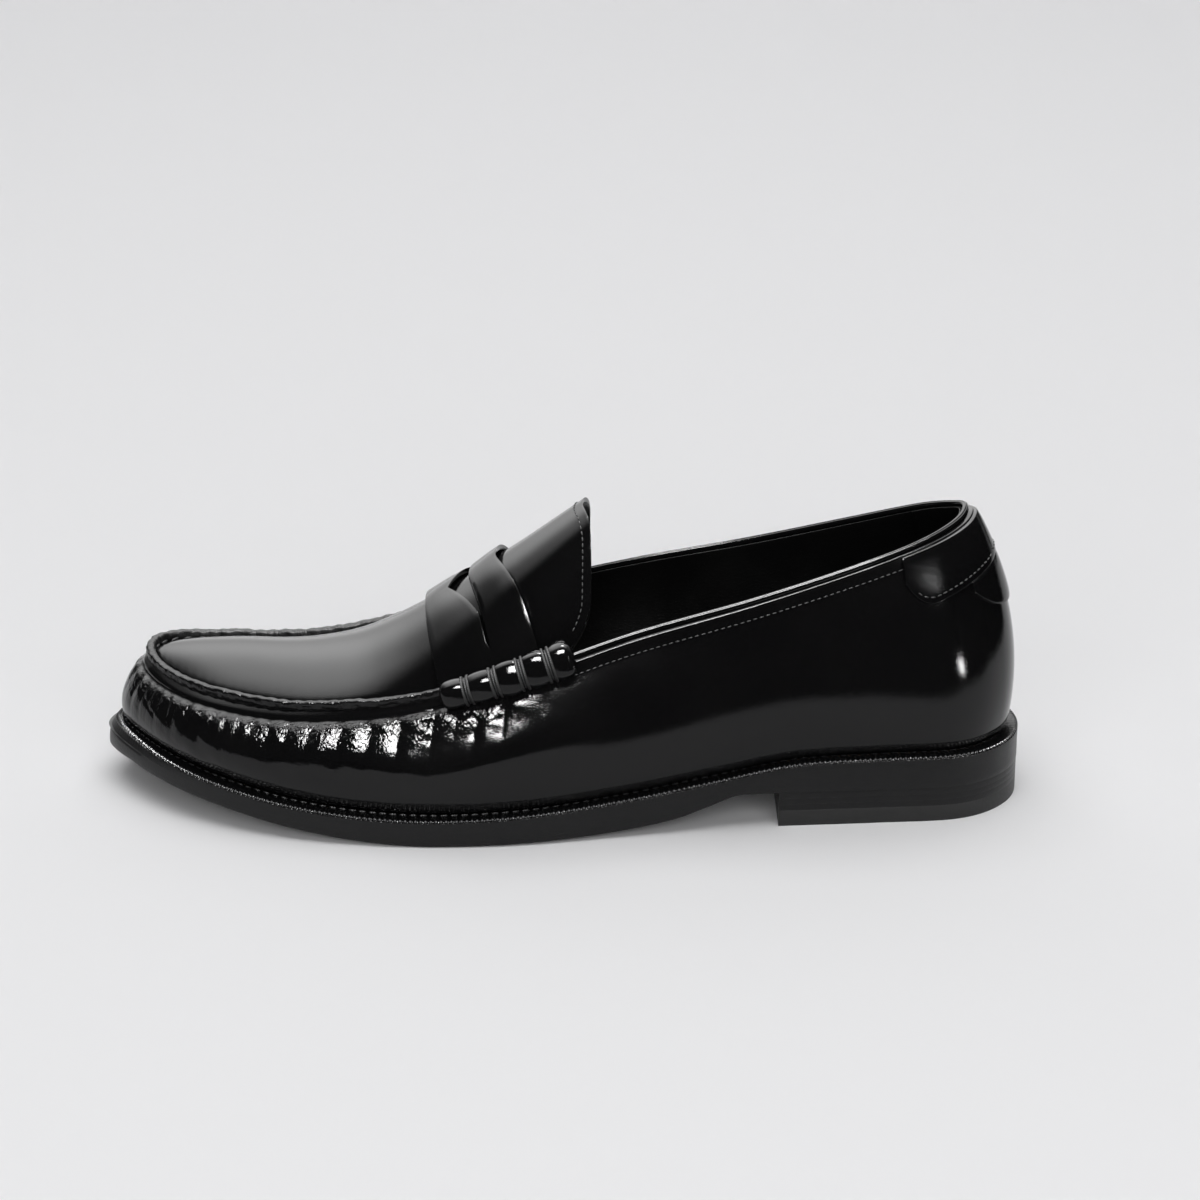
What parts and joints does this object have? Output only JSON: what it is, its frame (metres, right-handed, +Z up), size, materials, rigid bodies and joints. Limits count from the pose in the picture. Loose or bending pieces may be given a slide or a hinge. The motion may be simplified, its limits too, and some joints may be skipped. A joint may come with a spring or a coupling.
{
  "type": "penny loafer",
  "caption": "Men's slip-on penny loafer with raised moccasin seam, cut-out saddle strap, beef rolls, wheeled welt and low stacked heel; the tongue lifts on its root.",
  "frame": {"origin": "middle of the shoe's footprint, on the floor it stands on", "axes": "toe towards -X, heel towards +X, outer side towards -Y, +Z up"},
  "size_m": [0.3, 0.1018, 0.0991],
  "materials": {
    "polished_leather": "black box leather, brushed and polished to a high gloss",
    "welt_leather": "black dyed welt, wheeled along its top edge, waxed",
    "sole_leather": "leather sole and lifts with a black edge dressing, satin",
    "heel_rubber": "black rubber top piece, matt",
    "lining_leather": "black lining leather, matt with a fine grain",
    "board_leather": "undyed leather board",
    "thread": "waxed black sewing thread",
    "cork": "pressed cork",
    "shank_steel": "plain spring steel",
    "brad_brass": "brass brads"
  },
  "bodies": {
    "shoe": {"outsole": "sole_leather", "welt": "welt_leather", "welt_thread": "thread", "bottom_filler": "cork", "shank": "shank_steel", "insole": "board_leather", "sock_liner": "lining_leather", "heel_lift_1": "sole_leather", "heel_lift_2": "sole_leather", "heel_lift_3": "sole_leather", "heel_top_piece": "heel_rubber", "heel_nails": "shank_steel", "top_piece_brads": "brad_brass", "moccasin_wall": "polished_leather", "toe_puff": "board_leather", "heel_counter": "board_leather", "vamp_lining": "lining_leather", "quarter_lining": "lining_leather", "heel_grip": "lining_leather", "apron": "polished_leather", "apron_lining": "lining_leather", "moc_seam_thread": "thread", "saddle_strap": "polished_leather", "beef_roll_near": "polished_leather", "beef_roll_far": "polished_leather", "roll_thread_near": "thread", "roll_thread_far": "thread", "topline_binding": "polished_leather", "topline_thread": "thread", "heel_tab": "polished_leather", "heel_tab_flap": "polished_leather", "heel_tab_thread": "thread"},
    "tongue": {"tongue": "polished_leather", "tongue_lining": "lining_leather", "tongue_thread": "thread"}
  },
  "joints": [
    {"name": "tongue_lift", "type": "hinge", "parent": "shoe", "child": "tongue", "pos_m": [-0.0195, 0, 0.0805], "axis": [0, -1, 0], "range_deg": [0, 12], "stiffness_Nm_per_rad": 0.05}
  ]
}
